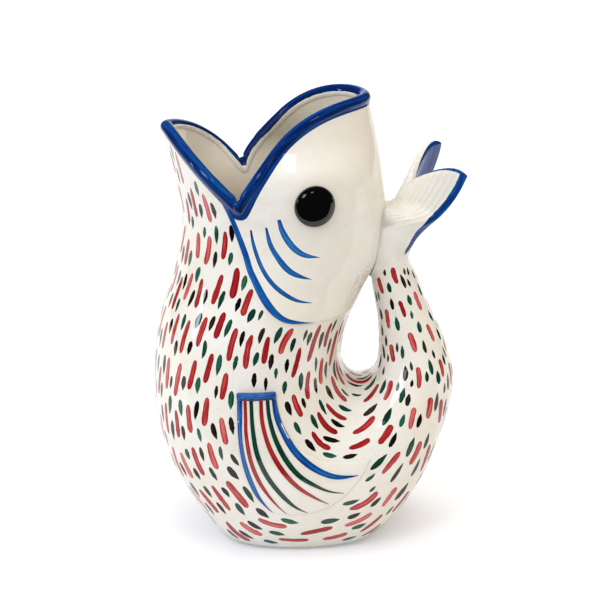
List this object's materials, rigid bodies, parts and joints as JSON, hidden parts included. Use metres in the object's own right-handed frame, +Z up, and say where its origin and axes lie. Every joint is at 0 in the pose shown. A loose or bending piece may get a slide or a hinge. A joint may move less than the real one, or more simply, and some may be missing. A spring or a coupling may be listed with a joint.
{
  "type": "gurgle jug",
  "caption": "Glazed earthenware water jug shaped as a fish bent into a U, its open mouth the spout and its hollow tail the handle.",
  "frame": {"origin": "on the table, under the middle of the foot", "axes": "+Z up, -X the way the fish looks and pours, -Y its left side, the side the picture shows"},
  "size_m": [0.168, 0.125, 0.2445],
  "materials": {
    "cream_glaze": "gloss",
    "blue_glaze": "gloss",
    "black_glaze": "gloss",
    "bare_clay": "matt"
  },
  "bodies": {
    "root": {"belly": "cream_glaze", "head": "cream_glaze", "lip_bead": "blue_glaze", "tail": "cream_glaze", "tail_fin": "cream_glaze", "side_fin_left": "cream_glaze", "side_fin_right": "cream_glaze", "eye_left": "black_glaze", "eye_right": "black_glaze", "foot": "bare_clay"}
  },
  "joints": []
}
